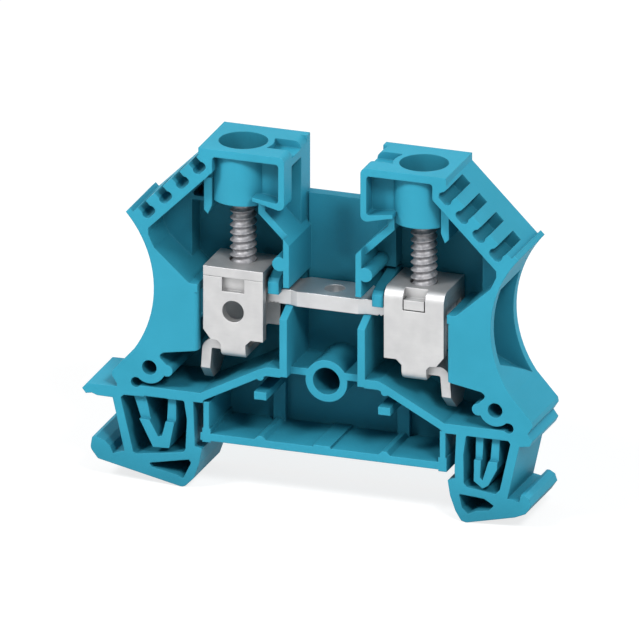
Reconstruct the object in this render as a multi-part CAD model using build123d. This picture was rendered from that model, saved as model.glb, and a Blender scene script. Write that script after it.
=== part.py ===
from build123d import *
import math
import os

# A feed-through screw terminal for a 35 mm mounting rail, open at the front.
# X runs along the block from the middle of the rail, Y from the open front to
# the flat back, with 0 halfway, and Z up from the rail's top face. Millimetres.
# Depths are counted from the open front. Sides are counted outwards from
# CLAMP_MID, the middle between the two clamping points.

# Overall sizes
DEPTH = 9.9
TOP_Z = 39.4
CLAMP_MID = -0.3
CLAMP_SIDE = 12.1

# Back wall
CENTRE_WALL = 1.55
CHAMBER_WALL = 1.2
BLOCK_WALL = 4.15
MID_TOP_Z = 31.9
BLOCK_SIDE = 19.45

# Floor plate over the rail
PLATE = 1.0
PLATE_SIDE = 16.3
PLATE_RIB = 0.5
POST = 0.75
POST_X = 16.2
CAP_TOP_Z = 1.65

# Beams and shoulders
FLOOR_Z = 6.3
BEAM = 1.3
SHOULDER_SIDE = 27.5
LEDGE_END_X = -32.45
HOLE_SIDE = 23.15
HOLE_Z = 8.9
HOLE_R = 0.975
HOLE_BOSS_R = 2.15
HOLE_DEEP = 8.4
LOBE_R = 0.8
LOBE_OUT = 0.15
LOBE_DROP = 0.15
NOTCH_R = 0.42
NOTCH_IN = 0.48
NOTCH_DROP = 0.5
SLOT_END_R = 0.67
SLOT_END_SIDE = 24.95

# Concave ends round the wire entries
ARC_R = 14.9
ARC_IN = 22.55
ARC_Z = 19.65
SHOULDER_Z = 11.1

# Wire entries
FRONT_WALL = 1.2
ENTRY_SIDE = 16.7
ENTRY_TOP_Z = 20.95
ENTRY_LOW_Z = 11.95
ROOF = 1.15
ROOF_RISE = 0.9
ROOF_BEND_SIDE = 18.3
ROOF_END_SIDE = 22.5
SILL_SIDE = 17.7

# Marker ladders, which slope down at 45 degrees
LADDER = 2.83
LADDER_TOP_Z = 38.4
LIP = 0.6
LIP_WIDTH = 0.8
MARKER_COUNT = 4
MARKER_PITCH = 3.19
MARKER_FIRST = 1.15
MARKER_DEEP = 5.4
MARKER_NECK = 1.5
MARKER_BULB = 1.9
MARKER_BULB_R = 0.6
MARKER_SEAT = 1.35
SHELF_Z = 30.2
SHELF_DEPTH = 5.4
SHELF_HOLE = 1.1
SHELF_RIM = 0.55

# Screw bosses and their front frames
BOSS_IN = 5.1
BOSS_OUT = 16.6
BOSS_TOP = 1.05
BOSS_R = 3.95
BOSS_BORE_R = 3.15
BOSS_LOW_Z = 31.9
BOSS_LEDGE = 1.0
FRAME_DEEP = 2.85
FRAME_RIM = 0.8
FRAME_WEB = 0.65
FRAME_END_SIDE = 14.75
FRAME_CORNER_R = 0.8
BLOCK_CORNER_R = 1.0
FLANGE_Z = 32.0
FLANGE_RISE = 1.0
FLANGE_SIDE = 9.1
GAP_SIDE = 8.5
PILLAR_DEPTH = 6.5
PILLAR_SIDE = 7.6
PILLAR_LOW_Z = 24.0
BRIDGE = 1.1
FIN = 1.05
FIN_SIDE = 16.4
FIN_LOW_Z = 30.0
FIN_DEPTH = 1.6

# Walls that flank the middle
UPPER_SIDE = 4.45
UPPER_WALL = 0.78
UPPER_LOW_Z = 21.9
UPPER_TOP_Z = 27.6
UPPER_LOBE_R = 0.95
UPPER_LOBE_Z = 25.0
ARM = 0.9
LOWER_SIDE = 4.72
LOWER_WALL = 1.0
DIAGONAL = 1.05
DIAGONAL_Z = 10.88
BUMP_SIDE = 8.35
BUMP_R = 0.5

# Tube in the middle and the pegs beside it
TUBE_Z = 9.4
TUBE_R = 2.8
TUBE_BORE_R = 1.8
TUBE_DEPTH = 1.6
WEB = 0.95
PEG_SIDE = 8.3
PEG_WIDTH = 1.63
PEG = 1.05
PEG_Z = 6.4
RIB_DEPTH = 7.3

# Spring feet
FOOT_LOW_Z = -6.7
FOOT_WEB = 1.2
RAIL_HALF = 17.5

# Current bar
BAR_Z = 18.8
BAR = 2.0
BAR_WIDE = 5.6
BAR_FRONT_STEP = 0.35
BAR_BACK_STEP = 0.95
BAR_WIDE_SIDE = 4.1
BAR_END_SIDE = 15.6
BAR_HOLE_R = 1.35
BAR_TEETH = 16
BAR_TOOTH = 0.2
BAR_TOOTH_PITCH = 0.5
BAR_TOOTH_SIDE = 6.8
FINGER = 1.45
FINGER_SIDE = 6.25
FINGER_GRIP = 0.4
FINGER_NOSE = 1.1
FINGER_RISE = 3.0
LOBE_DEPTH = 6.25

# Clamping yokes
YOKE_WIDTH = 8.0
YOKE_ROOM = 0.4
SHEET = 1.25
YOKE_LOW_Z = 11.2
CHEEK_Z = 14.0
FOLD_GAP = 0.06
REST_GAP = 0.05
TAB_WIDTH = 3.3
WINDOW_WIDTH = 3.0
WINDOW = 1.85
PEEP_R = 1.45
PEEP_Z = 17.66
LEG = 1.2
LEG_OUT = 4.4
LEG_LOW_Z = 7.5
LEG_WIDTH = 5.9
LEG_LEAN = 0.35
LEG_DROP = 0.75

# Clamping screws
THREAD_R = 1.7
THREAD_GAP = 0.05
HEAD_R = 2.95
HEAD = 3.3
HEAD_SLOT = 1.0
HEAD_SLOT_DEEP = 1.5
TIP_GAP = 0.05

CLAMP_DEPTH = (DEPTH - CHAMBER_WALL + 0.1) / 2
YOKE_DEPTH = DEPTH - CHAMBER_WALL - 2 * YOKE_ROOM
BAR_DEPTH = DEPTH / 2 - 0.1
ARC_SIDE = ARC_IN + ARC_R
BEAM_Z = FLOOR_Z - BEAM
YOKE_TOP_Z = BAR_Z + BAR + REST_GAP + 2 * SHEET + FOLD_GAP
LEDGE_Z = BOSS_LOW_Z + BOSS_LEDGE
LADDER_LINE = BOSS_OUT + LADDER_TOP_Z - LADDER * math.sqrt(2)


def slab(face, front, back):
    """A face drawn in X and Z, made solid between two depths behind the open front."""
    plane = Plane.XZ.offset(DEPTH / 2 - back)
    return extrude(plane * face, amount=back - front, dir=(0, -1, 0))


def outline(*points):
    return Polygon(*points, align=None)


def rect(x0, x1, z0, z1):
    return Pos((x0 + x1) / 2, (z0 + z1) / 2) * Rectangle(abs(x1 - x0), abs(z1 - z0))


def disc(x, z, radius):
    return Pos(x, z) * Circle(radius)


def rounded(face, radius, *spots):
    """A face with its corners nearest to the given spots rounded."""
    for x, z in spots:
        face = fillet(face.vertices().sort_by_distance((x, z, 0))[0:1], radius)
    return face


def both(shape):
    """The shape on both sides of the middle between the clamping points."""
    placed = Pos(CLAMP_MID, 0, 0)
    return placed * shape + placed * mirror(shape, about=Plane.YZ)


def arc_side(z):
    """Side of the concave end at a height."""
    return ARC_SIDE - math.sqrt(ARC_R ** 2 - (z - ARC_Z) ** 2)


def arc():
    return disc(ARC_SIDE, ARC_Z, ARC_R)


def tilted(face):
    """A face drawn with X down the ladder and Y out of it, put on the 45 degree slope."""
    return Pos(BOSS_OUT, LADDER_TOP_Z) * Rot(0, 0, -45) * face


def ladder_end(drop):
    """Distance down the ladder to the concave end, at a drop below its top line."""
    middle = (ARC_SIDE + ARC_Z - BOSS_OUT - LADDER_TOP_Z) / math.sqrt(2)
    along = (ARC_SIDE - ARC_Z - BOSS_OUT + LADDER_TOP_Z) / math.sqrt(2)
    return along - math.sqrt(ARC_R ** 2 - (middle + drop) ** 2)


def ladder():
    """Full-depth band down the slope, with a lip at its end."""
    length = ladder_end(0)
    band = rect(-LIP_WIDTH, length + LIP, -LADDER, 0) + rect(length - LIP_WIDTH, length, -LIP, LIP)
    return slab((tilted(band) & rect(FRAME_END_SIDE, ARC_SIDE, 0, TOP_Z)) - arc(), 0, DEPTH)


def marker_slots():
    """Keyhole slots that hold the marker tags, open to the front and up the slope."""
    cut = None
    for i in range(MARKER_COUNT):
        x = MARKER_FIRST + i * MARKER_PITCH
        bulb = Pos(x, -MARKER_SEAT) * RectangleRounded(MARKER_BULB, 2 * MARKER_BULB_R, MARKER_BULB_R * 0.95)
        neck = rect(x - MARKER_NECK / 2, x + MARKER_NECK / 2, -MARKER_SEAT, 2 * LIP)
        slot = slab(tilted(bulb + neck), 0, MARKER_DEEP)
        cut = slot if cut is None else cut + slot
    return cut


def shelf():
    """Block behind the slots, level underneath, with a blind hole beside the fin."""
    line = LADDER_LINE + 0.3
    face = outline((FRAME_END_SIDE, SHELF_Z), (line - SHELF_Z, SHELF_Z),
                   (FRAME_END_SIDE, line - FRAME_END_SIDE))
    x = FIN_SIDE + SHELF_RIM
    z = SHELF_Z + SHELF_RIM
    hole = outline((x, z), (x, LADDER_LINE - SHELF_RIM - x), (LADDER_LINE - SHELF_RIM - z, z))
    hole &= rect(x, x + 2 * SHELF_HOLE, SHELF_Z, TOP_Z)
    hole = fillet(hole.vertices(), 0.3)
    return slab(face, SHELF_DEPTH, DEPTH) - slab(hole, SHELF_DEPTH - 1, DEPTH - CHAMBER_WALL)


def roof_line():
    """Top line of the wire entry's roof, from the inner end up to the ladder."""
    rise = (ROOF_END_SIDE - ROOF_BEND_SIDE) * ROOF_RISE
    corner = ROOF_END_SIDE + 0.8
    return [
        (ENTRY_SIDE, ENTRY_TOP_Z),
        (ROOF_BEND_SIDE - 0.5, ENTRY_TOP_Z),
        (ROOF_BEND_SIDE, ENTRY_TOP_Z + 0.4),
        (ROOF_END_SIDE, ENTRY_TOP_Z + 0.4 + rise),
        (corner, ENTRY_TOP_Z + 0.4 + rise + 1.7),
        (corner, LADDER_LINE - corner + 0.3),
    ]


def wire_entry():
    """Front wall, roof and sloping sill of one wire entry."""
    line = roof_line()
    upper = [(arc_side(ARC_Z) + 4.0, line[-1][1] - 0.4), (arc_side(ARC_Z) + 4.0, SHOULDER_Z)]
    low = [(arc_side(SHOULDER_Z), SHOULDER_Z), (ENTRY_SIDE + 4.8, SHOULDER_Z), (ENTRY_SIDE, ENTRY_LOW_Z)]
    face = outline(*line, *upper, *low) - arc()
    front = slab(face, 0, FRONT_WALL)
    edges = front.edges().filter_by(Axis.Z).sort_by(Axis.X)
    front = fillet(edges.sort_by(Axis.Y)[0:1], FRONT_WALL * 0.45)
    under = [(x, z - ROOF) for x, z in line[:4]]
    crease = line[3][1] - ROOF + 1.3 * ROOF_RISE
    under.append((ROOF_END_SIDE + 1.3, crease))
    far = [(ARC_SIDE, crease), (ARC_SIDE, line[-1][1] + 1.5)]
    roof = slab(outline(*line, *far[::-1], *under[::-1]) - arc() - rect(ARC_IN, ARC_SIDE + 1, 30.5, 60), 0,
                DEPTH)
    return front + roof + sill()


def sill():
    """Floor of the wire entry, higher at the front, ending on the concave end."""
    far = ARC_IN + 4.9
    lower = [(SILL_SIDE, ENTRY_LOW_Z - 0.2), (ENTRY_SIDE + 4.8, SHOULDER_Z - 0.1), (far, SHOULDER_Z - 0.1)]
    rear = outline(*lower, (far, SHOULDER_Z), (arc_side(SHOULDER_Z), SHOULDER_Z),
                   (ENTRY_SIDE + 6.0, SHOULDER_Z + 0.7), (SILL_SIDE, SHOULDER_Z + 3.3))
    ahead = outline(*lower, (far, SHOULDER_Z + 3.6), (arc_side(SHOULDER_Z), SHOULDER_Z + 3.6),
                    (ENTRY_SIDE + 6.0, SHOULDER_Z + 3.7), (SILL_SIDE, SHOULDER_Z + 3.9))
    back_plane = Plane.XZ.offset(-DEPTH / 2 + CHAMBER_WALL - 0.3)
    front_plane = Plane.XZ.offset(DEPTH / 2 - FRONT_WALL + 0.3)
    body = loft([back_plane * rear, front_plane * ahead], ruled=True)
    return body - slab(arc(), 0, DEPTH)


def shoulder():
    """Full-depth block under the wire entry, with its notch, lobe, slot and locating hole."""
    tip = SHOULDER_SIDE + 0.7
    lobe_side = HOLE_SIDE - HOLE_BOSS_R - LOBE_OUT
    head = outline(
        (POST_X - 0.2, BEAM_Z), (SHOULDER_SIDE, BEAM_Z), (SHOULDER_SIDE, FLOOR_Z - 0.1),
        (tip, FLOOR_Z + 1.0), (tip - 0.1, FLOOR_Z + 1.6), (arc_side(SHOULDER_Z), SHOULDER_Z),
        (lobe_side, SHOULDER_Z), (lobe_side, HOLE_Z), (HOLE_SIDE - 0.9 * HOLE_R, HOLE_Z - HOLE_BOSS_R * 0.8),
        (HOLE_SIDE, FLOOR_Z + 1.55 * SLOT_END_R), (SLOT_END_SIDE, FLOOR_Z + 1.6 * SLOT_END_R),
        (SLOT_END_SIDE, FLOOR_Z), (POST_X - 0.2, FLOOR_Z),
    )
    face = head - disc(SLOT_END_SIDE, FLOOR_Z + SLOT_END_R * 0.6, SLOT_END_R)
    face += disc(HOLE_SIDE, HOLE_Z, HOLE_BOSS_R) + disc(lobe_side, HOLE_Z - LOBE_DROP, LOBE_R)
    end_x = lobe_side + NOTCH_IN
    end_z = SHOULDER_Z - NOTCH_DROP
    notch = outline((end_x + 0.1, end_z + NOTCH_R), (lobe_side + 0.1, SHOULDER_Z + 0.1),
                    (lobe_side - LOBE_R, SHOULDER_Z + 0.1), (lobe_side - LOBE_R, HOLE_Z + 0.4),
                    (lobe_side, HOLE_Z - LOBE_DROP + LOBE_R),
                    (end_x + NOTCH_R * 0.75, end_z - NOTCH_R * 0.75))
    face -= notch + disc(end_x, end_z, NOTCH_R)
    block = slab(face, 0, DEPTH)
    return block - slab(disc(HOLE_SIDE, HOLE_Z, HOLE_R), 0, HOLE_DEEP)


def back_wall():
    """The flat back, thinner behind the yokes, with the silhouette of the whole body."""
    half = outline(
        (0, 0), (PLATE_SIDE, 0), (PLATE_SIDE, BEAM_Z), (SHOULDER_SIDE, BEAM_Z),
        (arc_side(SHOULDER_Z), SHOULDER_Z), (ARC_IN + 4.5, SHOULDER_Z),
        (ARC_IN + 3.4, LADDER_TOP_Z + BOSS_OUT - (ARC_IN + 3.4)),
        (BOSS_OUT, LADDER_TOP_Z), (BOSS_OUT, TOP_Z), (BOSS_IN, TOP_Z), (BOSS_IN, MID_TOP_Z), (0, MID_TOP_Z),
    ) - arc()
    centre = rect(0, LOWER_SIDE, 0, MID_TOP_Z) & half
    thick = both(slab(half, DEPTH - CHAMBER_WALL, DEPTH)) + both(slab(centre, DEPTH - CENTRE_WALL, DEPTH))
    under = rect(0, PLATE_SIDE, 0, FLOOR_Z) + outline(
        (0, FLOOR_Z), (PLATE_SIDE, FLOOR_Z), (BUMP_SIDE, DIAGONAL_Z - 0.5), (0, DIAGONAL_Z - 0.5))
    thick += both(slab(under, DEPTH - CENTRE_WALL, DEPTH))
    line = roof_line()
    block = outline((BLOCK_SIDE, TOP_Z), (BLOCK_SIDE, line[2][1] + 0.5), *line[3:5], (ARC_SIDE, line[4][1]),
                    (ARC_SIDE, TOP_Z)) & half
    thick += both(slab(block, DEPTH - BLOCK_WALL, DEPTH))
    return thick


def boss():
    """One screw boss: front frame, round boss with a ledge, gap, bridge, pillar and fin."""
    block = slab(rect(GAP_SIDE, BOSS_OUT, LEDGE_Z + 0.2, TOP_Z), FRAME_DEEP - FRAME_WEB, DEPTH)
    frame = outline((BOSS_IN, FLANGE_Z), (FLANGE_SIDE, FLANGE_Z + FLANGE_RISE),
                    (FRAME_END_SIDE, FLANGE_Z + FLANGE_RISE), (FRAME_END_SIDE, LADDER_LINE - FRAME_END_SIDE),
                    (BOSS_OUT, LADDER_LINE - BOSS_OUT), (BOSS_OUT, TOP_Z), (BOSS_IN, TOP_Z))
    frame = rounded(frame, FRAME_CORNER_R, (BOSS_IN, TOP_Z), (BOSS_IN, FLANGE_Z))
    block += slab(frame, 0, FRAME_DEEP)
    pocket = outline((BOSS_IN + FRAME_RIM, FLANGE_Z + 1.05), (FLANGE_SIDE + 0.3, FLANGE_Z + 1.55),
                     (FLANGE_SIDE + 0.3, FLANGE_Z), (FRAME_END_SIDE, FLANGE_Z),
                     (FRAME_END_SIDE, TOP_Z - BOSS_TOP), (BOSS_IN + FRAME_RIM, TOP_Z - BOSS_TOP))
    corners = [(BOSS_IN, TOP_Z), (FRAME_END_SIDE, TOP_Z), (BOSS_IN, FLANGE_Z)]
    pocket = rounded(pocket, FRAME_CORNER_R / 2, *corners)
    block -= slab(pocket, 0, FRAME_DEEP - FRAME_WEB)
    rear = rounded(rect(BOSS_IN, GAP_SIDE, BOSS_LOW_Z, TOP_Z), BLOCK_CORNER_R, (BOSS_IN, TOP_Z))
    rear += rect(BOSS_IN, PILLAR_SIDE, PILLAR_LOW_Z, BOSS_LOW_Z + 1)
    block += slab(rear, PILLAR_DEPTH, DEPTH)
    bridge_z = TOP_Z - 2 * BOSS_TOP
    bridge = rect(BOSS_IN, GAP_SIDE + 0.5, bridge_z, bridge_z + BRIDGE)
    block += slab(bridge, FRAME_DEEP - 0.2, PILLAR_DEPTH + 0.2)
    fin_top = LADDER_LINE - FIN_SIDE + 0.3
    fin = outline((FIN_SIDE, fin_top), (FIN_SIDE, FIN_LOW_Z + 0.5), (FIN_SIDE - 0.5 * FIN, FIN_LOW_Z),
                  (FIN_SIDE - FIN, FIN_LOW_Z + 1.2), (FIN_SIDE - FIN, fin_top))
    block += slab(fin, FIN_DEPTH, SHELF_DEPTH + 0.2)
    tube = Pos(CLAMP_SIDE, CLAMP_DEPTH - DEPTH / 2, BOSS_LOW_Z) * Cylinder(
        BOSS_R, TOP_Z - BOSS_LOW_Z, align=(Align.CENTER, Align.CENTER, Align.MIN))
    return block + tube


def boss_bore():
    """Bore for the screw head and the smaller hole through the ledge under it."""
    place = Pos(CLAMP_SIDE, CLAMP_DEPTH - DEPTH / 2, 0)
    low = (Align.CENTER, Align.CENTER, Align.MIN)
    bore = Pos(0, 0, LEDGE_Z) * Cylinder(BOSS_BORE_R, TOP_Z - LEDGE_Z + 1, align=low)
    hole = Pos(0, 0, BOSS_LOW_Z - 1) * Cylinder(THREAD_R + 3 * THREAD_GAP, BOSS_LEDGE + 2, align=low)
    return place * (bore + hole)


def upper_wall():
    """Wall beside the middle above the bar, with its lobe and the arm up to the frame."""
    outer = UPPER_SIDE + UPPER_WALL
    wall = slab(outline((UPPER_SIDE, UPPER_LOW_Z), (outer, UPPER_LOW_Z), (outer, UPPER_TOP_Z + UPPER_WALL),
                        (UPPER_SIDE, UPPER_TOP_Z)), 0, DEPTH - CHAMBER_WALL / 2)
    lobe = disc(outer + UPPER_LOBE_R * 0.55, UPPER_LOBE_Z, UPPER_LOBE_R)
    wall += slab(lobe, 0, LOBE_DEPTH)
    path = outline(
        (UPPER_SIDE, UPPER_TOP_Z), (outer - 0.3, UPPER_TOP_Z - 0.8), (FLANGE_SIDE, FLANGE_Z - 1.1),
        (FLANGE_SIDE, FLANGE_Z + 1.2), (FLANGE_SIDE - ARM, FLANGE_Z + 1.2),
        (FLANGE_SIDE - ARM, UPPER_TOP_Z + FLANGE_SIDE - ARM - UPPER_SIDE),
    )
    return wall + slab(path, FIN_DEPTH, DEPTH - CHAMBER_WALL / 2)


def lower_wall():
    """Wall under the bar and the sloping wall from it down to the beam."""
    outer = LOWER_SIDE + LOWER_WALL
    wall = slab(rect(LOWER_SIDE, outer, DIAGONAL_Z - DIAGONAL, BAR_Z), 0, DEPTH - CHAMBER_WALL / 2)
    nose = outline((0, BAR_Z), (2.65, BAR_Z), (0, BAR_Z - 1.2))
    wall -= Pos(0, -DEPTH / 2, 0) * extrude(Plane.YZ * nose, amount=2 * outer, both=True)
    drop = (DIAGONAL_Z - FLOOR_Z - 0.65) / (POST_X - BUMP_SIDE - 0.4)
    slope_end = POST_X - 0.2
    top = [(outer - 0.1, DIAGONAL_Z), (BUMP_SIDE - 0.85, DIAGONAL_Z), (BUMP_SIDE + 0.2, DIAGONAL_Z - 0.45)]
    top.append((slope_end, top[-1][1] - drop * (slope_end - top[-1][0])))
    low = [(x, z - DIAGONAL * 1.12) for x, z in top]
    face = outline(*top, *low[::-1]) + disc(BUMP_SIDE, DIAGONAL_Z - 1.4, BUMP_R)
    foot = outline(top[-1], (slope_end + 0.3, FLOOR_Z), (slope_end + 0.3, BEAM_Z),
                   (slope_end - 1.6, FLOOR_Z + 0.2))
    return wall + slab(face + foot, 0, DEPTH - CHAMBER_WALL / 2)


def centre():
    """Tube between two webs, and the pegs with their ribs on the back wall."""
    tube = slab(disc(0, TUBE_Z, TUBE_R), TUBE_DEPTH, DEPTH - CENTRE_WALL / 2)
    web_z = DIAGONAL_Z - DIAGONAL
    web = rect(-LOWER_SIDE - 0.1, LOWER_SIDE + 0.1, web_z, web_z + WEB)
    tube += slab(web, TUBE_DEPTH, DEPTH - CENTRE_WALL / 2)
    tube -= slab(disc(0, TUBE_Z, TUBE_BORE_R), 0, DEPTH - CENTRE_WALL)
    half = PEG_WIDTH / 2
    peg = slab(rect(PEG_SIDE - half, PEG_SIDE + half, PEG_Z, PEG_Z + PEG), 0, DEPTH - CENTRE_WALL / 2)
    peg += slab(rect(PEG_SIDE - half, PEG_SIDE + half, PLATE / 2, PEG_Z), RIB_DEPTH, DEPTH - CENTRE_WALL / 2)
    return Pos(CLAMP_MID, 0, 0) * tube + both(peg)


def floor_plate():
    """Plate over the rail with its small ribs, end caps and posts up to the beams."""
    face = rect(-PLATE_SIDE, PLATE_SIDE, 0, PLATE)
    for side in (-PEG_SIDE, PEG_SIDE):
        face += outline((side - 0.8, PLATE), (side - 0.3, PLATE + PLATE_RIB), (side + 0.3, PLATE + PLATE_RIB),
                        (side + 0.8, PLATE))
    face += rect(-1.2, 1.1, PLATE, PLATE + 0.25)
    face = Pos(CLAMP_MID, 0) * face
    for side in (-1, 1):
        cap = rect(side * (POST_X + 0.15), side * (POST_X - 0.95), -0.22, CAP_TOP_Z)
        post = rect(side * POST_X, side * (POST_X - POST), 0, BEAM_Z + 0.2)
        face += cap + post
    return slab(face, 0, DEPTH)


def foot_face(side, *points):
    """A foot's outline, from distances beyond the rail's edge and heights."""
    return outline(*[(side * (RAIL_HALF + out), z) for out, z in points])


def left_foot():
    """The hooked foot that takes the rail's edge first."""
    top = BEAM_Z
    points = [(0.1, top + 0.3), (-0.15, -0.95), (-1.1, -1.2), (-0.7, -3.3), (0, -5.3),
              (1.34, FOOT_LOW_Z), (12.82, -4.2), (13.85, -2.9), (13.62, -1.44), (13.08, -1.24),
              (11.88, -1.76), (11.21, -2.35), (10.81, -3.25), (9.27, -2.78), (11.1, top + 0.3)]
    body = fillet(foot_face(-1, *points).vertices().sort_by(Axis.Y)[0:1], 1.0)
    body = fillet(body.vertices().sort_by(Axis.X)[0:1], 1.0)
    pocket = foot_face(-1, (9.8, top - 0.6), (8.1, -2.75), (7.7, -2.95), (1.4, -1.95), (1.1, -1.5),
                     (0.9, 2.45), (1.3, top), (9.4, top - 0.2))
    vee = foot_face(-1, (8.5, top + 0.6), (7.25, 1.8), (5.45, -1.76), (3.31, -1.67), (2.57, 2.1),
                  (2.57, top + 0.6))
    slit = foot_face(-1, (6.65, top), (5.99, 1.95), (4.78, -0.26), (4.25, -0.1), (3.78, 1.82), (3.6, top))
    step = foot_face(-1, (9, 1.85), (9, top + 1), (2, top + 1), (2, 1.85))
    triangle = foot_face(-1, (5.99, -3.95), (0.63, -2.85), (0.36, -3.28), (1.43, -5.5), (2.37, -5.1),
                       (5.59, -4.48))
    return foot_solid(body, pocket, vee, slit, step, triangle)


def right_foot():
    """The foot that swings and snaps under the rail's other edge."""
    top = BEAM_Z
    points = [(0.15, top + 0.3), (-0.08, 0), (0, -0.9), (-1, -1.3), (-0.68, -3.3), (0.05, -5.3),
              (0.8, -6.5), (1.46, FOOT_LOW_Z), (8, -5.2), (9.4, -4.6), (10.2, -3.4), (9.9, -2.5),
              (9.2, -2.1), (8.8, -2.1), (8.56, -3.1), (7, -2.8), (8.8, top + 0.3)]
    body = fillet(foot_face(1, *points).vertices().sort_by(Axis.Y)[0:1], 0.7)
    pocket = foot_face(1, (1.45, top), (1.1, 2.4), (1.15, -1.45), (1.6, -1.9), (5.4, -2.4), (6, -1.7),
                     (7.4, top - 0.4), (7, top + 0.15))
    vee = foot_face(1, (2.6, top + 0.6), (2.5, -0.96), (3.67, -1.85), (4.4, -1.4), (5.61, 0.92),
                    (5.8, top + 0.6))
    slit = foot_face(1, (3.6, top), (3.34, -0.44), (3.67, -0.74), (4.54, 2.14), (4.8, top))
    step = foot_face(1, (2, 1.9), (2, top + 1), (6.7, top + 1), (6.7, 1.9))
    triangle = foot_face(1, (0.52, -2.96), (2.8, -3.1), (3.9, -3.2), (5.21, -3.99), (4.5, -4.7), (2.7, -5.0),
                       (1.7, -5.5), (0.93, -4.8))
    return foot_solid(body, pocket, vee, slit, step, triangle)


def foot_solid(body, pocket, vee, slit, step, triangle):
    """A foot's body with its blind pocket, hanging tongue and triangular recess."""
    pocket = fillet(pocket.vertices(), 0.3)
    triangle = fillet(triangle.vertices(), 0.15)
    solid = slab(body, 0, DEPTH)
    solid -= slab(pocket - vee + (slit & vee) + triangle, 0, DEPTH - FOOT_WEB)
    return solid - slab(vee & step & pocket, 0, 0.6)


def bar_finger():
    """Finger that comes forward from the back wall and down on the current bar."""
    top = BAR_Z + BAR
    bar_y = BAR_DEPTH - BAR_WIDE / 2 + BAR_FRONT_STEP
    nose_y = bar_y - 0.1 - FINGER_NOSE
    profile = outline(
        (DEPTH, top + FINGER_RISE), (DEPTH - 2.5, top + FINGER_RISE * 0.95),
        (bar_y + 1.2, top + FINGER_RISE * 0.72), (nose_y + 0.5, top + FINGER_RISE * 0.55),
        (nose_y, top + FINGER_RISE * 0.38), (nose_y, top - FINGER_GRIP),
        (bar_y - 0.1, top - FINGER_GRIP), (bar_y - 0.1, top + 0.05), (DEPTH, top + 0.05),
    )
    face = Pos(FINGER_SIDE, -DEPTH / 2, 0) * (Plane.YZ * profile)
    return extrude(face, amount=FINGER, dir=(1, 0, 0))


def wing_ledge():
    """Flat ledge that runs out beyond the left foot."""
    z = FLOOR_Z - 0.45
    root = CLAMP_MID - SHOULDER_SIDE + 0.5
    end = LEDGE_END_X
    face = outline((root, z), (end + 0.6, z - 0.1), (end, z - 0.8), (end + 0.5, z - 1.45),
                   (end + 1.3, z - 1.3), (end + 2.0, z - 1.55), (root, z - 1.6))
    tip = SHOULDER_SIDE + CLAMP_MID
    right = outline((tip - 1.5, FLOOR_Z - 0.1), (tip, FLOOR_Z - 0.1), (tip + 0.65, FLOOR_Z - 1.0),
                    (tip + 0.3, FLOOR_Z - 1.7), (tip - 1.5, FLOOR_Z - 2.0))
    return slab(face + right, 0, DEPTH)


def housing():
    """The whole moulding."""
    body = back_wall() + floor_plate() + centre()
    body += both(shoulder()) + both(wire_entry()) + both(ladder()) + both(shelf())
    body += both(boss()) + both(upper_wall()) + both(lower_wall()) + both(bar_finger())
    body += wing_ledge() + left_foot() + right_foot()
    return body - both(boss_bore()) - both(marker_slots())


def current_bar():
    """Stamped bar, wide in the middle, with a hole and teeth under its clamped ends."""
    wide = BAR_WIDE / 2
    front = BAR_FRONT_STEP - wide
    back = wide - BAR_BACK_STEP
    step = BAR_WIDE_SIDE + BAR_BACK_STEP
    face = outline((-BAR_END_SIDE, front), (-step, front), (-BAR_WIDE_SIDE, -wide), (BAR_WIDE_SIDE, -wide),
                   (step, front), (BAR_END_SIDE, front), (BAR_END_SIDE, back), (step, back),
                   (BAR_WIDE_SIDE, wide), (-BAR_WIDE_SIDE, wide), (-step, back), (-BAR_END_SIDE, back))
    face -= Circle(BAR_HOLE_R)
    bar = extrude(Plane.XY.offset(BAR_Z) * face, amount=BAR)
    for side in (-1, 1):
        for i in range(BAR_TEETH):
            x = side * (BAR_TOOTH_SIDE + i * BAR_TOOTH_PITCH)
            notch = outline((x - BAR_TOOTH, BAR_Z), (x, BAR_Z + BAR_TOOTH), (x + BAR_TOOTH, BAR_Z))
            bar -= extrude(Plane.XZ * notch, amount=wide, both=True)
    return Pos(CLAMP_MID, BAR_DEPTH - DEPTH / 2, 0) * bar


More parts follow.
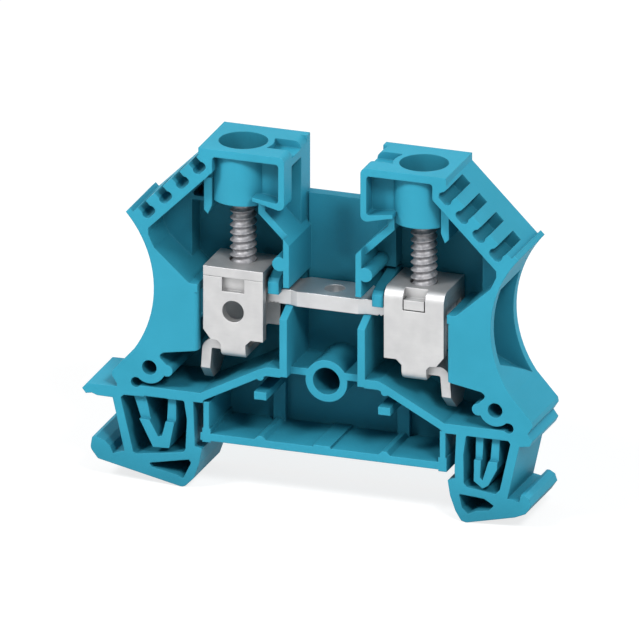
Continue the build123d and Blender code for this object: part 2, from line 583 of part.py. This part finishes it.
def yoke():
    """Folded strip round the bar: two cheeks, doubled top, bottom tab and outer leg."""
    half = YOKE_DEPTH / 2
    wide = YOKE_WIDTH / 2
    bend = 1.2 * SHEET
    inner_top = BAR_Z + BAR + REST_GAP
    seam = inner_top + SHEET
    outside = fillet(rect(-half, half, YOKE_LOW_Z, YOKE_TOP_Z).vertices().sort_by(Axis.Y)[0:2], bend)
    outside = fillet(outside.vertices().group_by(Axis.Y)[-1].sort_by(Axis.X)[-1:], bend)
    inside = RectangleRounded(YOKE_DEPTH - 2 * SHEET, seam + FOLD_GAP - YOKE_LOW_Z - SHEET, bend - SHEET)
    inside = Pos(0, (seam + FOLD_GAP + YOKE_LOW_Z + SHEET) / 2) * inside
    layer = rect(-half + SHEET / 2, half - SHEET - 0.1, inner_top, seam)
    ring = outside - inside - rect(-half - 1, 0, seam, seam + FOLD_GAP) + layer
    body = extrude(Plane.YZ * ring, amount=wide, both=True)
    low = outline((-TAB_WIDTH / 2, YOKE_LOW_Z), (TAB_WIDTH / 2, YOKE_LOW_Z), (TAB_WIDTH / 2, CHEEK_Z - 0.7),
                  (TAB_WIDTH / 2 + 0.7, CHEEK_Z), (wide, CHEEK_Z), (wide, YOKE_TOP_Z), (-wide, YOKE_TOP_Z),
                  (-wide, CHEEK_Z + 0.9), (-wide + 1.0, CHEEK_Z - 0.4), (-TAB_WIDTH / 2 - 0.4, CHEEK_Z - 0.5),
                  (-TAB_WIDTH / 2, CHEEK_Z - 1.0))
    low = fillet(low.vertices().sort_by(Axis.Y)[0:2], 0.6)
    body &= extrude(Plane.XZ * low, amount=YOKE_DEPTH, both=True)
    body += yoke_leg()
    front_window = rect(-WINDOW_WIDTH / 2, WINDOW_WIDTH / 2, seam - WINDOW, seam)
    body -= Pos(0, -half, 0) * extrude(Plane.XZ * front_window, amount=SHEET * 0.55, both=True)
    back_window = rect(-WINDOW_WIDTH / 2, WINDOW_WIDTH / 2, seam - 1.4, YOKE_TOP_Z + 1)
    body -= Pos(0, half, 0) * extrude(Plane.XZ * back_window, amount=SHEET, both=True)
    tab = rect(-WINDOW_WIDTH / 2 + 0.15, WINDOW_WIDTH / 2 - 0.15, inner_top, seam)
    body += Pos(0, half, 0) * extrude(Plane.XZ * tab, amount=SHEET * 1.5, dir=(0, -1, 0))
    low_align = (Align.CENTER, Align.CENTER, Align.MIN)
    body -= Pos(0, 0, inner_top - 1) * Cylinder(THREAD_R + THREAD_GAP, 2 * SHEET + 2, align=low_align)
    peep = Pos(0, PEEP_Z) * Circle(PEEP_R)
    return body - Pos(0, -half, 0) * extrude(Plane.XZ * peep, amount=SHEET * 1.1, both=True)


def yoke_leg():
    """Leg bent out of the bottom plate, which closes the entry under a raised yoke."""
    top = CHEEK_Z - LEG_DROP
    inner = LEG_OUT - LEG
    low_out = LEG_OUT + LEG_LEAN
    side = outline((0, top - LEG), (-inner, top - LEG), (LEG - low_out, LEG_LOW_Z), (-low_out, LEG_LOW_Z),
                   (-LEG_OUT, top), (0, top))
    side = rounded(side, LEG * 1.2, (-LEG_OUT, top))
    side = rounded(side, LEG * 0.2, (-inner, top - LEG))
    leg = extrude(Plane.XZ * side, amount=LEG_WIDTH / 2, both=True)
    half = LEG_WIDTH / 2
    cut = 0.3 * LEG_WIDTH
    shape = outline((-half, top + 1), (-half, LEG_LOW_Z + cut), (-half + cut, LEG_LOW_Z),
                    (half - cut, LEG_LOW_Z), (half, LEG_LOW_Z + cut), (half, top + 1))
    return leg & extrude(Plane.YZ * shape, amount=2 * YOKE_WIDTH, both=True)


def screw():
    """Slotted clamping screw, its tip on the bar and its head over the boss's ledge."""
    low = (Align.CENTER, Align.CENTER, Align.MIN)
    tip_z = BAR_Z + BAR + TIP_GAP
    head_z = LEDGE_Z + THREAD_GAP
    shank = Pos(0, 0, tip_z) * Cylinder(THREAD_R, head_z - tip_z + 0.1, align=low)
    shank = chamfer(shank.edges().group_by(Axis.Z)[0], 0.4)
    head = Pos(0, 0, head_z) * Cylinder(HEAD_R, HEAD, align=low)
    head = chamfer(head.edges().group_by(Axis.Z)[-1], 0.3)
    slot = Box(3 * HEAD_R, HEAD_SLOT, 2 * HEAD_SLOT_DEEP, align=low)
    return shank + head - Pos(0, 0, head_z + HEAD - HEAD_SLOT_DEEP) * slot


def write(shape, name):
    """Write one piece under its node's name."""
    export_step(shape, os.path.join("parts", name + ".step"))


os.makedirs("parts", exist_ok=True)
axis_y = CLAMP_DEPTH - DEPTH / 2
left = Pos(CLAMP_MID - CLAMP_SIDE, axis_y, 0)
right = Pos(CLAMP_MID + CLAMP_SIDE, axis_y, 0)
write(housing(), "housing")
write(current_bar(), "current_bar")
write(left * yoke(), "left_yoke")
write(right * Rot(0, 0, 180) * yoke(), "right_yoke")
write(left * screw(), "left_screw")
write(right * screw(), "right_screw")
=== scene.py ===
import math

import bmesh
import bpy
import numpy as np
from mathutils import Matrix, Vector


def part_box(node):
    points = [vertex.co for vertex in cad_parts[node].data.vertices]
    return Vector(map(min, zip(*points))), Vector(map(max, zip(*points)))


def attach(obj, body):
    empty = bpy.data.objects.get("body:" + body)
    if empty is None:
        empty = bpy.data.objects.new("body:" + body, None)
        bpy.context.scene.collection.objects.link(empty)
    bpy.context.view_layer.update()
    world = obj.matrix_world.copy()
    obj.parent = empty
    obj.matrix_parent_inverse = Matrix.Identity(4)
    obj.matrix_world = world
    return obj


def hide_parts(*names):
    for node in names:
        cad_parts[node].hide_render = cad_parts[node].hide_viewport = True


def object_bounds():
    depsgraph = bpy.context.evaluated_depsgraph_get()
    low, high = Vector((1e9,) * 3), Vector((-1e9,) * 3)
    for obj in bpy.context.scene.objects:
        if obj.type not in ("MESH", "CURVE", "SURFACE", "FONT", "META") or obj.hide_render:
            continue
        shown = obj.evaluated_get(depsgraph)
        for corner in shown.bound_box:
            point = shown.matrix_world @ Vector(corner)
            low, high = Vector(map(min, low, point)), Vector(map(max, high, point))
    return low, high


# A blue rail terminal: its moulded housing, plated yokes and bar, and threaded screws.
# Everything is in metres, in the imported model's frame: X along the block, Y from the
# open front to the flat back, Z up from the rail's top face.

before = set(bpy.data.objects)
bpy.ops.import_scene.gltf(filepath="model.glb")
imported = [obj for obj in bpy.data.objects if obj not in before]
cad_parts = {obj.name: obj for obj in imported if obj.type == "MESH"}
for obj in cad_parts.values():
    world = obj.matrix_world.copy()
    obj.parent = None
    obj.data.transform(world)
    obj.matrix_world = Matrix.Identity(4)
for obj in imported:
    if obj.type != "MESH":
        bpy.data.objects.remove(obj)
cad_low, cad_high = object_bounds()

MM = 0.001

# Clamping screws: the thread
SCREW_ROOT_R = 1.30 * MM
SCREW_CREST_R = 1.7 * MM
SCREW_PITCH = 1.0 * MM
SCREW_TIP_CONE = 0.55 * MM
# Half widths of the crest's flat top and of its foot, as shares of the pitch
CREST_FLAT = 0.045
CREST_REACH = 0.46
# A power above 1 hollows the flanks out towards the root
FLANK_POWER = 1.5

# Clamping screws: the slotted head
HEAD_R = 2.95 * MM
HEAD_HEIGHT = 3.3 * MM
HEAD_CHAMFER = 0.3 * MM
UNDER_CHAMFER = 0.2 * MM
SLOT_WIDTH = 1.0 * MM
SLOT_DEPTH = 1.5 * MM
SLOT_CHAMFER = 0.1 * MM
# How far the rod reaches up into the head, and how far the halves beside the slot reach
# down into it and narrow there
ROD_OVERLAP = 0.1 * MM
LAND_OVERLAP = 0.25 * MM
LAND_TAPER = 0.02 * MM
ROUNDING_STEPS = 5

# Closing and shading the screws' meshes
MERGE_WITHIN = 1e-7
DROP_EDGES_UNDER = 1e-8
SHARP_ANGLE = 32

# Shares of the noise, and of the openness that sets the painted shade in recesses, that are
# spread over an effect's full range
TONE_RANGE = (0.3, 0.7)
GRAIN_RANGE = (0.2, 0.8)
OPEN_RANGE = (0.25, 0.85)

# Camera, as the photograph was taken: angles in degrees, and its width at its scale
CAMERA_AZIMUTH = 19.45
CAMERA_ELEVATION = 20.68
CAMERA_TARGET = Vector((-2.337, 0.0, 16.204)) * MM
CAMERA_DISTANCE = 0.6
PICTURE_PIXELS = 640
PIXELS_PER_MM = 7.92
VIEW_WIDTH = PICTURE_PIXELS / PIXELS_PER_MM * MM

# Soft boxes on each side of the front and a weaker one behind: azimuth and elevation in
# degrees, and power in watts
LAMP_DISTANCE = 0.5
LAMP_SIZE = 0.12
LAMPS = (
    ("left_lamp", -44, 44, 1.38),
    ("right_lamp", 44, 44, 1.40),
    ("back_lamp", 168, 12, 0.95),
)

# Light from all round, and what the camera and reflections see there
SKY_LIGHT = 0.24
SKY_SEEN = 1.0

# Floor: its half width, its gap under the feet, the grey that lights the object, and the
# grey and glow that the camera and reflections see
FLOOR_REACH = 3.0
FLOOR_GAP = 0.02 * MM
FLOOR_GREY = 0.65
FLOOR_SEEN_GREY = 0.30
FLOOR_GLOW = 0.78


# Node helpers

def link(tree, source, target):
    """Joins an output socket to an input socket."""
    tree.links.new(source, target)


def math_node(tree, operation, a, b, clamp=False):
    """A Math node whose inputs are sockets or plain numbers."""
    node = tree.nodes.new("ShaderNodeMath")
    node.operation = operation
    node.use_clamp = clamp
    for socket, value in zip(node.inputs, (a, b)):
        if isinstance(value, (int, float)):
            socket.default_value = value
        else:
            link(tree, value, socket)
    return node.outputs[0]


def map_range(tree, value, source, result):
    """A clamped Map Range from the source range to the result range."""
    node = tree.nodes.new("ShaderNodeMapRange")
    link(tree, value, node.inputs["Value"])
    node.inputs["From Min"].default_value, node.inputs["From Max"].default_value = source
    node.inputs["To Min"].default_value, node.inputs["To Max"].default_value = result
    return node.outputs["Result"]


def mix_colour(tree, factor, a, b, blend="MIX"):
    """A colour Mix node. Factor, a and b are sockets or plain values."""
    node = tree.nodes.new("ShaderNodeMix")
    node.data_type = "RGBA"
    node.blend_type = blend
    for name, value in (("Factor_Float", factor), ("A_Color", a), ("B_Color", b)):
        socket = next(s for s in node.inputs if s.identifier == name)
        if isinstance(value, bpy.types.NodeSocket):
            link(tree, value, socket)
        elif isinstance(value, (int, float)):
            socket.default_value = value
        else:
            socket.default_value = (*value, 1.0)
    return next(s for s in node.outputs if s.identifier == "Result_Color")


def effect_group(name, inputs, outputs):
    """An empty node group with named float inputs and typed outputs."""
    tree = bpy.data.node_groups.new(name, "ShaderNodeTree")
    for label, value in inputs:
        socket = tree.interface.new_socket(label, in_out="INPUT", socket_type="NodeSocketFloat")
        socket.default_value = value
    for label, kind in outputs:
        tree.interface.new_socket(label, in_out="OUTPUT", socket_type=kind)
    return tree, tree.nodes.new("NodeGroupInput"), tree.nodes.new("NodeGroupOutput")


def edge_wear_group():
    """Edge mask: how far the normal, averaged over a small width, leans from the face's own."""
    tree, given, result = effect_group(
        "edge_wear", [("Width", 0.15 * MM), ("Contrast", 3.0)],
        [("Mask", "NodeSocketFloat"), ("Normal", "NodeSocketVector")])
    bevel = tree.nodes.new("ShaderNodeBevel")
    bevel.samples = 6
    link(tree, given.outputs["Width"], bevel.inputs["Radius"])
    geometry = tree.nodes.new("ShaderNodeNewGeometry")
    dot = tree.nodes.new("ShaderNodeVectorMath")
    dot.operation = "DOT_PRODUCT"
    link(tree, bevel.outputs["Normal"], dot.inputs[0])
    link(tree, geometry.outputs["Normal"], dot.inputs[1])
    lean = math_node(tree, "SUBTRACT", 1.0, dot.outputs["Value"], clamp=True)
    mask = math_node(tree, "MULTIPLY", lean, given.outputs["Contrast"], clamp=True)
    link(tree, mask, result.inputs["Mask"])
    link(tree, bevel.outputs["Normal"], result.inputs["Normal"])
    return tree


def noise(tree, place, scale, detail):
    """Noise from 0 to 1 at a place, with its scale from a socket."""
    node = tree.nodes.new("ShaderNodeTexNoise")
    node.inputs["Detail"].default_value = detail
    link(tree, place, node.inputs["Vector"])
    link(tree, scale, node.inputs["Scale"])
    return node.outputs["Fac"]


def grain_group():
    """Fine grain and slow tone changes, both from noise on the piece's own coordinates."""
    tree, given, result = effect_group(
        "surface_grain", [("Grain Scale", 7000.0), ("Tone Scale", 140.0), ("Stretch", 1.0)],
        [("Grain", "NodeSocketFloat"), ("Tone", "NodeSocketFloat")])
    place = tree.nodes.new("ShaderNodeTexCoord").outputs["Object"]
    stretch = tree.nodes.new("ShaderNodeCombineXYZ")
    link(tree, given.outputs["Stretch"], stretch.inputs["X"])
    stretch.inputs["Y"].default_value = 1.0
    stretch.inputs["Z"].default_value = 1.0
    scaled = tree.nodes.new("ShaderNodeVectorMath")
    scaled.operation = "MULTIPLY"
    link(tree, place, scaled.inputs[0])
    link(tree, stretch.outputs["Vector"], scaled.inputs[1])
    grain = noise(tree, scaled.outputs["Vector"], given.outputs["Grain Scale"], 2.0)
    tone = noise(tree, place, given.outputs["Tone Scale"], 3.0)
    link(tree, grain, result.inputs["Grain"])
    link(tree, tone, result.inputs["Tone"])
    return tree


def painted_recess_shade_group():
    """Painted recess shade: 1 in the open, falling to Darkest where nearby walls close a place
    in.
    """
    tree, given, result = effect_group(
        "painted_recess_shade", [("Reach", 12 * MM), ("Darkest", 0.5)], [("Tone", "NodeSocketFloat")])
    # Ambient occlusion decides how much shade is painted into the colour
    around = tree.nodes.new("ShaderNodeAmbientOcclusion")
    around.samples = 8
    link(tree, given.outputs["Reach"], around.inputs["Distance"])
    openness = map_range(tree, around.outputs["AO"], OPEN_RANGE, (0.0, 1.0))
    span = math_node(tree, "SUBTRACT", 1.0, given.outputs["Darkest"])
    lift = math_node(tree, "MULTIPLY", openness, span)
    tone = math_node(tree, "ADD", lift, given.outputs["Darkest"])
    link(tree, tone, result.inputs["Tone"])
    return tree


def place_group(tree, group, **values):
    """A group node with its inputs set; a name's underscores stand for spaces."""
    node = tree.nodes.new("ShaderNodeGroup")
    node.node_tree = group
    for name, value in values.items():
        node.inputs[name.replace("_", " ")].default_value = value
    return node


# Materials

edge_wear = edge_wear_group()
surface_grain = grain_group()
painted_recess_shade = painted_recess_shade_group()


def satin_finish(name, *, dark, pale, worn, wear, edge_width, grain_scale, tone_scale, stretch,
                 reach, darkest, rough, bump_depth, bump_strength, metallic, specular):
    """A satin surface with fine grain, slow tone changes, rubbed edges and shade painted into
    its recesses.

    The tone drifts from dark to pale, and wear is the share of worn on the sharpest edges.
    A stretch below 1 draws the grain out along the block. Reach is how near a wall has to
    be for painted shade to darken a place, down to darkest. Rough is the roughness's range over
    the grain.
    """
    material = bpy.data.materials.new(name)
    material.use_nodes = True
    tree = material.node_tree
    tree.nodes.clear()
    shader = tree.nodes.new("ShaderNodeBsdfPrincipled")
    output = tree.nodes.new("ShaderNodeOutputMaterial")
    link(tree, shader.outputs["BSDF"], output.inputs["Surface"])
    shader.inputs["Metallic"].default_value = metallic
    shader.inputs["Specular IOR Level"].default_value = specular

    edge = place_group(tree, edge_wear, Width=edge_width)
    grain = place_group(tree, surface_grain, Grain_Scale=grain_scale, Tone_Scale=tone_scale,
                        Stretch=stretch)
    # Painted shade: darkens the colour where nearby walls close a place in
    painted_shade = place_group(tree, painted_recess_shade, Reach=reach, Darkest=darkest)

    tone = map_range(tree, grain.outputs["Tone"], TONE_RANGE, (0.0, 1.0))
    colour = mix_colour(tree, tone, dark, pale)
    rubbed = math_node(tree, "MULTIPLY", edge.outputs["Mask"], wear)
    colour = mix_colour(tree, rubbed, colour, worn)
    # The painted shade multiplies the colour in recesses
    colour = mix_colour(tree, 1.0, colour, painted_shade.outputs["Tone"], "MULTIPLY")
    link(tree, colour, shader.inputs["Base Color"])

    roughness = map_range(tree, grain.outputs["Grain"], GRAIN_RANGE, rough)
    link(tree, roughness, shader.inputs["Roughness"])

    bump = tree.nodes.new("ShaderNodeBump")
    bump.inputs["Distance"].default_value = bump_depth
    bump.inputs["Strength"].default_value = bump_strength
    link(tree, grain.outputs["Grain"], bump.inputs["Height"])
    link(tree, edge.outputs["Normal"], bump.inputs["Normal"])
    link(tree, bump.outputs["Normal"], shader.inputs["Normal"])
    return material


def plated_metal(name, pale, dark, roughness, stretch, metallic=0.8, darkest=0.55,
                 edge_width=0.14 * MM, tone_scale=420.0):
    """Plated metal: rolling streaks, blotches, edges rubbed a little brighter, and shade painted
    into its recesses.
    """
    return satin_finish(
        name, dark=dark, pale=pale, worn=tuple(1.15 * c for c in pale), wear=0.5,
        edge_width=edge_width, grain_scale=2600.0, tone_scale=tone_scale, stretch=stretch,
        reach=4 * MM, darkest=darkest, rough=(roughness - 0.06, roughness + 0.08),
        bump_depth=0.02 * MM, bump_strength=0.25, metallic=metallic, specular=0.5)


# Painted shade darkens the housing's colour within 12 mm of a wall down to half; the metals get
# it within 4 mm and less deep
polyamide = satin_finish(
    "blue_polyamide", dark=(0.035, 0.352, 0.503), pale=(0.041, 0.392, 0.562),
    worn=(0.10, 0.50, 0.66), wear=0.35, edge_width=0.16 * MM, grain_scale=7000.0,
    tone_scale=140.0, stretch=1.0, reach=12 * MM, darkest=0.50, rough=(0.50, 0.62),
    bump_depth=0.03 * MM, bump_strength=0.35, metallic=0.0, specular=0.18)
tinned = plated_metal(
    "tinned_copper", (0.70, 0.705, 0.715), (0.62, 0.625, 0.63), 0.42, 0.15, darkest=0.8)
galvanised = plated_metal(
    "galvanised_sheet", (0.67, 0.67, 0.67), (0.585, 0.585, 0.59), 0.50, 0.25)
passivated = plated_metal(
    "zinc_screw", (0.45, 0.445, 0.46), (0.24, 0.237, 0.25), 0.50, 1.0, metallic=0.55,
    darkest=0.75, edge_width=0.04 * MM, tone_scale=1900.0)


# Clamping screws, worked out as surfaces

def closed_mesh(name, shells, material):
    """Joins grids of points into one object.

    Each shell is an array (rings, points, 3). Its rings are closed loops, and its
    first and last ring are each drawn together at one point, which closes it.
    """
    points, faces, start = [], [], 0
    for shell in shells:
        rings, count = shell.shape[:2]
        ring, point = np.meshgrid(np.arange(rings - 1) * count, np.arange(count), indexing="ij")
        after = (point + 1) % count
        quad = np.stack([ring + point, ring + after, ring + count + after, ring + count + point],
                        axis=-1)
        faces.append(quad.reshape(-1, 4) + start)
        points.append(shell.reshape(-1, 3))
        start += rings * count
    mesh = bpy.data.meshes.new(name)
    mesh.from_pydata(np.concatenate(points).tolist(), [], np.concatenate(faces).tolist())
    work = bmesh.new()
    work.from_mesh(mesh)
    bmesh.ops.remove_doubles(work, verts=work.verts, dist=MERGE_WITHIN)
    bmesh.ops.dissolve_degenerate(work, edges=work.edges, dist=DROP_EDGES_UNDER)
    bmesh.ops.recalc_face_normals(work, faces=work.faces)
    work.to_mesh(mesh)
    work.free()
    mesh.polygons.foreach_set("use_smooth", np.ones(len(mesh.polygons), bool))
    mesh.set_sharp_from_angle(angle=math.radians(SHARP_ANGLE))
    mesh.materials.append(material)
    piece = bpy.data.objects.new(name, mesh)
    bpy.context.scene.collection.objects.link(piece)
    return piece


def turned(radii, heights, count=96):
    """Surface of revolution: the point at angle a of ring k is (r_k cos a, r_k sin a, z_k)."""
    angle = np.linspace(0, 2 * np.pi, count, endpoint=False)
    radius = np.asarray(radii, float)[:, None]
    height = np.broadcast_to(np.asarray(heights, float)[:, None], (len(heights), count))
    return np.stack([radius * np.cos(angle), radius * np.sin(angle), height], axis=-1)


def thread(low, high, count=72, per_pitch=20):
    """Right-hand thread on a rod from height low to high.

    The radius at height z and angle a is the root radius plus the depth times a wave of z
    over the pitch less a over a full turn. The wave is 1 on a narrow flat crest and falls
    on both sides to 0 at the crest's foot, as a straight line raised to a power. A cone
    cuts it off at the tip.
    """
    rows = int((high - low) / SCREW_PITCH * per_pitch) + 1
    height = np.linspace(low, high, rows)[:, None]
    angle = np.linspace(0, 2 * np.pi, count, endpoint=False)[None, :]
    phase = (height / SCREW_PITCH - angle / (2 * np.pi)) % 1.0
    flank = (CREST_REACH - np.abs(phase - 0.5)) / (CREST_REACH - CREST_FLAT)
    wave = np.clip(flank, 0.0, 1.0) ** FLANK_POWER
    radius = SCREW_ROOT_R + (SCREW_CREST_R - SCREW_ROOT_R) * wave
    radius = np.minimum(radius, SCREW_CREST_R - SCREW_TIP_CONE + (height - low))
    height = np.broadcast_to(height, radius.shape)
    body = np.stack([radius * np.cos(angle), radius * np.sin(angle), height], axis=-1)
    pole = np.zeros((1, count, 3))
    return np.concatenate([pole + (0, 0, low), body, pole + (0, 0, high)])


def half_discs(radius, edge, height, side, arc=60, chord=20):
    """Loops round a disc's part beyond the slot, one for each radius, edge and height.

    A loop is the circle of its radius r from the angle asin(edge / r) to half a turn less
    that, closed by the chord at y = edge. Side -1 turns it half a turn about the axis.
    """
    start = np.arcsin(edge / radius)
    angle = np.linspace(start, np.pi - start, arc, axis=-1)
    reach = radius * np.cos(start)
    across = np.linspace(-reach, reach, chord + 2, axis=-1)[:, 1:-1]
    level = np.broadcast_to(edge[:, None], across.shape)
    x = np.concatenate([radius[:, None] * np.cos(angle), across], axis=-1)
    y = np.concatenate([radius[:, None] * np.sin(angle), level], axis=-1)
    return np.stack([x * side, y * side, np.broadcast_to(height[:, None], x.shape)], axis=-1)


def slot_land(bottom, top, side):
    """One half of a slotted head, from bottom to top on one side of the slot.

    Its loops widen a little to the head's radius and then round its top edge: at angle t of
    a quarter turn they are in by the chamfer times 1 - cos t, and below the top by the
    chamfer times 1 - sin t.
    """
    turn = np.linspace(0, np.pi / 2, ROUNDING_STEPS)
    inwards = 1 - np.cos(turn)
    half = SLOT_WIDTH / 2
    radius = np.append([HEAD_R - LAND_TAPER, HEAD_R], HEAD_R - HEAD_CHAMFER * inwards)
    edge = np.append([half, half], half + SLOT_CHAMFER * inwards)
    height = np.append([bottom, bottom + LAND_OVERLAP], top - HEAD_CHAMFER * (1 - np.sin(turn)))
    loops = half_discs(radius, edge, height, side)
    middle = np.zeros((1, loops.shape[1], 3)) + (0, side * HEAD_R / 2, 0)
    return np.concatenate([middle + (0, 0, bottom), loops, middle + (0, 0, top)])


def clamping_screw(name, node, body):
    """Slotted screw that stands for its plain solid: thread, head disc and two halves."""
    low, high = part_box(node)
    centre = np.array([(low.x + high.x) / 2, (low.y + high.y) / 2, 0.0])
    top = high.z
    under = top - HEAD_HEIGHT
    slot_floor = top - SLOT_DEPTH
    rod = thread(low.z, under + ROD_OVERLAP)
    disc = turned([0, HEAD_R - UNDER_CHAMFER, HEAD_R, HEAD_R, 0],
                  [under, under, under + UNDER_CHAMFER, slot_floor, slot_floor])
    lands = [slot_land(slot_floor - LAND_OVERLAP, top, side) for side in (1, -1)]
    piece = closed_mesh(name, [shell + centre for shell in (rod, disc, *lands)], passivated)
    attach(piece, body)
    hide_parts(node)


for side_name in ("left", "right"):
    clamping_screw(side_name + "_clamping_screw", side_name + "_screw", side_name + "_screw")


# Finishes of the CAD nodes

finishes = {
    "housing": polyamide,
    "current_bar": tinned,
    "left_yoke": galvanised,
    "right_yoke": galvanised,
    "left_screw": passivated,
    "right_screw": passivated,
}
for node_name, finish in finishes.items():
    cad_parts[node_name].data.materials.clear()
    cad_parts[node_name].data.materials.append(finish)


# Floor, light and camera

def grey_surface(tree, grey):
    """A matt shader of a plain grey."""
    node = tree.nodes.new("ShaderNodeBsdfDiffuse")
    node.inputs["Color"].default_value = (grey, grey, grey, 1)
    return node


def white_light(tree, strength):
    """A white world background of some strength."""
    node = tree.nodes.new("ShaderNodeBackground")
    node.inputs["Color"].default_value = (1.0, 1.0, 1.0, 1)
    node.inputs["Strength"].default_value = strength
    return node


def output_by_ray(tree, kind, lighting, seen):
    """Output that is one shader as light on the object, and another where it is seen.

    Seen means by the camera, in a reflection or through glass.
    """
    ray = tree.nodes.new("ShaderNodeLightPath").outputs
    direct = math_node(tree, "MAXIMUM", ray["Is Camera Ray"], ray["Is Glossy Ray"])
    direct = math_node(tree, "MAXIMUM", direct, ray["Is Transmission Ray"])
    mix = tree.nodes.new("ShaderNodeMixShader")
    link(tree, direct, mix.inputs["Fac"])
    link(tree, lighting.outputs[0], mix.inputs[1])
    link(tree, seen.outputs[0], mix.inputs[2])
    output = tree.nodes.new(kind)
    link(tree, mix.outputs[0], output.inputs["Surface"])


def pale_floor():
    """A wide pale floor under the feet. What the camera sees of it is white, less the shadow."""
    material = bpy.data.materials.new("pale_floor")
    material.use_nodes = True
    tree = material.node_tree
    tree.nodes.clear()
    glow = tree.nodes.new("ShaderNodeEmission")
    glow.inputs["Strength"].default_value = FLOOR_GLOW
    seen = tree.nodes.new("ShaderNodeAddShader")
    link(tree, grey_surface(tree, FLOOR_SEEN_GREY).outputs[0], seen.inputs[0])
    link(tree, glow.outputs[0], seen.inputs[1])
    output_by_ray(tree, "ShaderNodeOutputMaterial", grey_surface(tree, FLOOR_GREY), seen)
    signs = np.array([(-1, -1), (1, -1), (1, 1), (-1, 1)])
    corners = np.column_stack([signs * FLOOR_REACH, np.full(4, cad_low.z - FLOOR_GAP)])
    mesh = bpy.data.meshes.new("floor")
    mesh.from_pydata(corners.tolist(), [], [(0, 1, 2, 3)])
    mesh.materials.append(material)
    floor = bpy.data.objects.new("floor", mesh)
    bpy.context.scene.collection.objects.link(floor)


def studio_world():
    """Soft grey light from all round, and white where the camera or a reflection sees it."""
    world = bpy.data.worlds.new("studio")
    bpy.context.scene.world = world
    world.use_nodes = True
    tree = world.node_tree
    tree.nodes.clear()
    output_by_ray(tree, "ShaderNodeOutputWorld", white_light(tree, SKY_LIGHT),
                  white_light(tree, SKY_SEEN))


def direction(azimuth, elevation):
    """Unit vector outwards, in degrees: azimuth from the front to the right, elevation up."""
    a, e = math.radians(azimuth), math.radians(elevation)
    return Vector((math.sin(a) * math.cos(e), -math.cos(a) * math.cos(e), math.sin(e)))


def place_holder(name, content, away):
    """An object for a lamp or camera, away from the object's middle and turned to it."""
    holder = bpy.data.objects.new(name, content)
    holder.location = CAMERA_TARGET + away
    holder.rotation_mode = "QUATERNION"
    holder.rotation_quaternion = (-away).to_track_quat("-Z", "Y")
    bpy.context.scene.collection.objects.link(holder)
    return holder


def soft_box(name, azimuth, elevation, power):
    """A square area lamp.

    One behind the object lights its back and isn't mirrored in its top faces.
    """
    lamp = bpy.data.lights.new(name, "AREA")
    lamp.shape = "SQUARE"
    lamp.size = LAMP_SIZE
    lamp.energy = power
    away = LAMP_DISTANCE * direction(azimuth, elevation)
    place_holder(name, lamp, away).visible_glossy = away.y < 0


def photo_camera():
    """A parallel camera at the photograph's angle."""
    camera = bpy.data.cameras.new("camera")
    camera.type = "ORTHO"
    camera.ortho_scale = VIEW_WIDTH
    camera.clip_start, camera.clip_end = 0.01, 10.0
    away = CAMERA_DISTANCE * direction(CAMERA_AZIMUTH, CAMERA_ELEVATION)
    bpy.context.scene.camera = place_holder("camera", camera, away)


pale_floor()
studio_world()
for lamp_name, azimuth, elevation, power in LAMPS:
    soft_box(lamp_name, azimuth, elevation, power)
photo_camera()
bpy.context.scene.view_settings.view_transform = "Standard"
